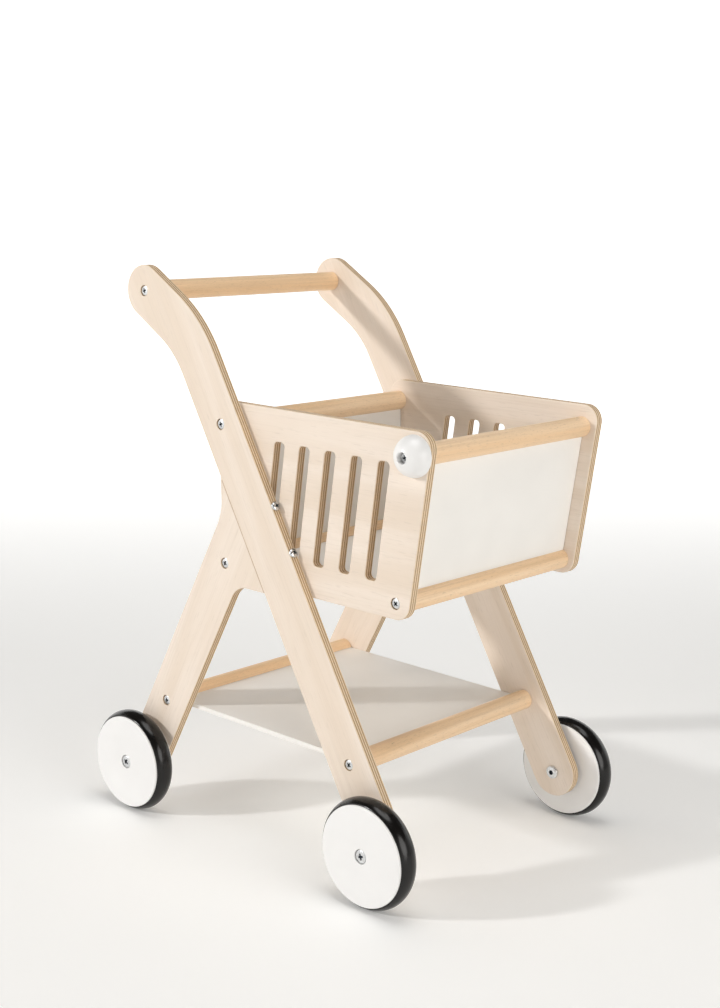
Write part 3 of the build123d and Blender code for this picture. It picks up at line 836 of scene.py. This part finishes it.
class CART_OT_bolts(bpy.types.Operator):
    """Cross-head bolts in the legs and sides, the knob's screw and the four axle bolts"""
    bl_idname = "cart.bolts"
    bl_label = "Bolts and axles"

    def execute(self, context):
        sizes, look = context.scene.cart_sizes, context.scene.cart_look
        steel = plated("zinc_steel", look.steel, 0.2, 0.16, True)
        low_dome, radius, head, tall = 0.3, sizes.bolt, sizes.bolt_head, sizes.bolt_head_height
        seat = corner_box("short_frame_bolts")[1][1] - tall
        side_seat = seat - PLY
        front_top, front_bottom = AXES["basket_front_top_rail"], AXES["basket_front_bottom_rail"]
        in_legs = [AXES[n] for n in ("handle_bar", "front_stretcher", "rear_stretcher")]
        places = facing(in_legs, seat) + facing([front_bottom], side_seat)
        places += facing([front_top], side_seat)[1:]
        reach = seat - LEG_INNER + sizes.bolt_reach
        screws("short_frame_bolts", places, radius, reach, head, tall, low_dome, steel)
        in_both = [AXES[n] for n in ("basket_back_top_rail", "basket_back_bottom_rail")]
        screws("long_frame_bolts", facing(in_both, seat), radius, reach + PLY, head, tall, low_dome, steel)
        knob_seat = -corner_box("knob_screw")[0][1] - tall
        screws("knob_screw", facing([front_top], knob_seat)[:1], radius,
               knob_seat - SIDE_INNER + sizes.bolt_reach, head, tall, low_dome, steel)
        axle_seat = corner_box("axle_bolts")[1][1] - sizes.axle_head_height
        centres = [axle_places[f"{end}_right_wheel"][[0, 2]] for end in ("front", "rear")]
        past_leg = 1.4 * MM
        screws("axle_bolts", facing(centres, axle_seat), sizes.axle, axle_seat - LEG_INNER + past_leg,
               sizes.axle_head, sizes.axle_head_height, low_dome, steel)
        return {"FINISHED"}


class CART_OT_leg_screws(bpy.types.Operator):
    """Long screws whose domed heads stand on the front edge of each handle leg"""
    bl_idname = "cart.leg_screws"
    bl_label = "Leg screws"

    def execute(self, context):
        sizes = context.scene.cart_sizes
        start = AXES["basket_back_top_rail"]
        corners = np.array([v.co for v in frame["nodes"]["leg_joint_screws"].data.vertices])
        along = (corners[:, [0, 2]] - start) @ down_leg
        middle = (along.min() + along.max()) / 2
        groups = (along[along < middle], along[along >= middle])
        places = []
        for station in [(group.min() + group.max()) / 2 for group in groups]:
            x, z = start + station * down_leg + LEG_HALF_WIDTH * across_leg
            places += [((x, side * (LEG_INNER + PLY / 2), z), (across_leg[0], 0.0, across_leg[1]))
                       for side in SIDES]
        high_dome, steel = 0.6, plated("bright_steel", context.scene.cart_look.steel, 0.14, 0.12, True)
        screws("leg_joint_screws", places, sizes.leg_screw, sizes.leg_screw_length, sizes.leg_screw_head,
               sizes.leg_screw_head_height, high_dome, steel)
        return {"FINISHED"}


class CART_OT_cap_nuts(bpy.types.Operator):
    """Four domed cap nuts with six-sided sockets on the axles' inner ends"""
    bl_idname = "cart.cap_nuts"
    bl_label = "Cap nuts"

    def execute(self, context):
        sizes = context.scene.cart_sizes
        high = corner_box("axle_cap_nuts")[1]
        radius = high[2] - front_axle[2]
        surfaces = []
        for body in WHEELS:
            x, y, z = axle_places[body]
            side = 1.0 if y > 0 else -1.0
            nut = cap_nut(radius, sizes.cap_nut_height, sizes.cap_nut_socket, sizes.cap_nut_depth,
                          (x, side * high[1], z), (0.0, -side, 0.0))
            surfaces.append((nut, False, True))
        steel = plated("cap_nut_steel", context.scene.cart_look.steel, 0.2, 0.14, True)
        piece("axle_cap_nuts_turned", surfaces, steel, "frame", ["axle_cap_nuts"], 30.0)
        return {"FINISHED"}


class CART_OT_hardware(bpy.types.Operator):
    """Finishes for the insert nuts, spacers and wheel bushes"""
    bl_idname = "cart.hardware"
    bl_label = "Insert nuts, spacers and bushes"

    def execute(self, context):
        look = context.scene.cart_look
        nylon = moulded("nylon", look.nylon)
        wear("rail_insert_nuts", plated("brass", look.brass, 0.26, 0.18))
        wear("axle_spacers", nylon)
        for body in WHEELS:
            wear(f"{body}_bush", nylon)
        return {"FINISHED"}


class CART_OT_stage(bpy.types.Operator):
    """A pale floor that curves up behind the cart, soft lights and the camera"""
    bl_idname = "cart.stage"
    bl_label = "Stage, lights and camera"

    def execute(self, context):
        stage = context.scene.cart_stage
        self.floor(stage)
        self.room(context, stage)
        for name, place, width, power, color in (
                ("key_light", (-2.45, -3.94, 2.15), stage.key_width, stage.key, (1.0, 0.992, 0.98)),
                ("fill_light", (2.3, -0.3, 0.85), 1.6, stage.fill, (1.0, 0.985, 0.96)),
                ("top_light", (0.2, -0.2, 2.2), 1.4, stage.top, (1.0, 0.995, 0.985))):
            self.lamp(name, Vector(place), width, power, color)
        self.camera(context, stage)
        return {"FINISHED"}

    def floor(self, stage):
        """Rings about the cart: height is 0 out to the level floor's radius, and beyond it rises with the
        square of the distance. The floor gives off light, weakly at the cart and strongly behind it."""
        level, outer, curve = 3, 7, 0.22
        ring = np.concatenate([np.linspace(0, level, 4), np.linspace(level + 0.2, outer, 20)])
        angle = np.linspace(0, tau, 96, endpoint=False)
        rise = curve * np.clip(ring - level, 0, None) ** 2
        flat = ring[:, None, None] * np.stack([np.cos(angle), np.sin(angle)], -1)
        grid = np.concatenate([flat, np.broadcast_to(rise[:, None, None], (*flat.shape[:2], 1))], -1)
        faces = quads(*grid.shape[:2], 0, False, True)
        mesh = closed_mesh("studio_floor", grid.reshape(-1, 3), faces, True)
        s = Shader("pale_floor")
        cloud = s.noise(s.place(), 3.0, 2.0)
        color = s.mix(cloud, solid(stage.floor), toned(stage.floor, 0.99))
        behind = s.part(s.place(), "Y") * 0.74 - s.part(s.place(), "X") * 0.67
        glow = s.mix(behind.rise(0.2, 2.6), (0.15, 0.147, 0.142, 1), (1, 1, 1, 1))
        mesh.materials.append(s.finish(color, 0.8 + cloud * 0.1, Emission_Color=glow,
                                       Emission_Strength=stage.floor_glow))
        made = bpy.data.objects.new("studio_floor", mesh)
        bpy.context.scene.collection.objects.link(made)

    def room(self, context, stage):
        world = bpy.data.worlds.new("studio")
        world.use_nodes = True
        background = world.node_tree.nodes["Background"]
        background.inputs["Color"].default_value = (1.0, 0.96, 0.9, 1.0)
        background.inputs["Strength"].default_value = stage.sky
        context.scene.world = world
        context.scene.view_settings.view_transform = "Standard"

    def lamp(self, name, place, width, power, color):
        """A round lamp that faces the middle of the cart."""
        light = bpy.data.lights.new(name, "AREA")
        light.shape, light.size, light.energy, light.color = "DISK", width, power, color
        lamp = bpy.data.objects.new(name, light)
        facing_cart = (Vector((0.0, 0.0, 0.26)) - place).to_track_quat("-Z", "Y")
        lamp.matrix_world = Matrix.Translation(place) @ facing_cart.to_matrix().to_4x4()
        bpy.context.scene.collection.objects.link(lamp)

    def camera(self, context, stage):
        data = bpy.data.cameras.new("camera")
        data.sensor_fit, data.sensor_width, data.lens = "HORIZONTAL", 36.0, stage.lens
        data.clip_start, data.clip_end = 0.05, 50.0
        place, aim = Vector(stage.camera_place), Vector(stage.camera_aim)
        ahead = (aim - place).normalized()
        right = ahead.cross(Vector((0, 0, 1))).normalized()
        up = right.cross(ahead)
        roll = stage.camera_roll
        right, up = right * cos(roll) + up * sin(roll), up * cos(roll) - right * sin(roll)
        turn = Matrix((right, up, -ahead)).transposed().to_4x4()
        camera = bpy.data.objects.new("camera", data)
        camera.matrix_world = Matrix.Translation(place) @ turn
        context.scene.collection.objects.link(camera)
        context.scene.camera = camera


# ---------------------------------------------------------------- panel and running

OPERATORS = (
    CART_OT_plywood, CART_OT_rails, CART_OT_boards, CART_OT_wheels, CART_OT_knob, CART_OT_bolts,
    CART_OT_leg_screws, CART_OT_cap_nuts, CART_OT_hardware, CART_OT_stage,
)


class CART_PT_panel(bpy.types.Panel):
    bl_idname = "CART_PT_panel"
    bl_label = "Toy shopping cart"
    bl_space_type = "VIEW_3D"
    bl_region_type = "UI"
    bl_category = "Cart"

    def draw(self, context):
        for group in (context.scene.cart_sizes, context.scene.cart_look, context.scene.cart_stage):
            box = self.layout.box()
            for key in group.bl_rna.properties.keys():
                if key not in ("rna_type", "name"):
                    box.prop(group, key)
        for operator in OPERATORS:
            self.layout.operator(operator.bl_idname)


CLASSES = (CartLook, CartSizes, CartStage, *OPERATORS, CART_PT_panel)


def register():
    for each in CLASSES:
        bpy.utils.register_class(each)
    bpy.types.Scene.cart_look = PointerProperty(type=CartLook)
    bpy.types.Scene.cart_sizes = PointerProperty(type=CartSizes)
    bpy.types.Scene.cart_stage = PointerProperty(type=CartStage)


def unregister():
    del bpy.types.Scene.cart_stage
    del bpy.types.Scene.cart_sizes
    del bpy.types.Scene.cart_look
    for each in reversed(CLASSES):
        bpy.utils.unregister_class(each)


def main():
    register()
    for operator in OPERATORS:
        group, name = operator.bl_idname.split(".")
        getattr(getattr(bpy.ops, group), name)()


if __name__ == "__main__":
    main()
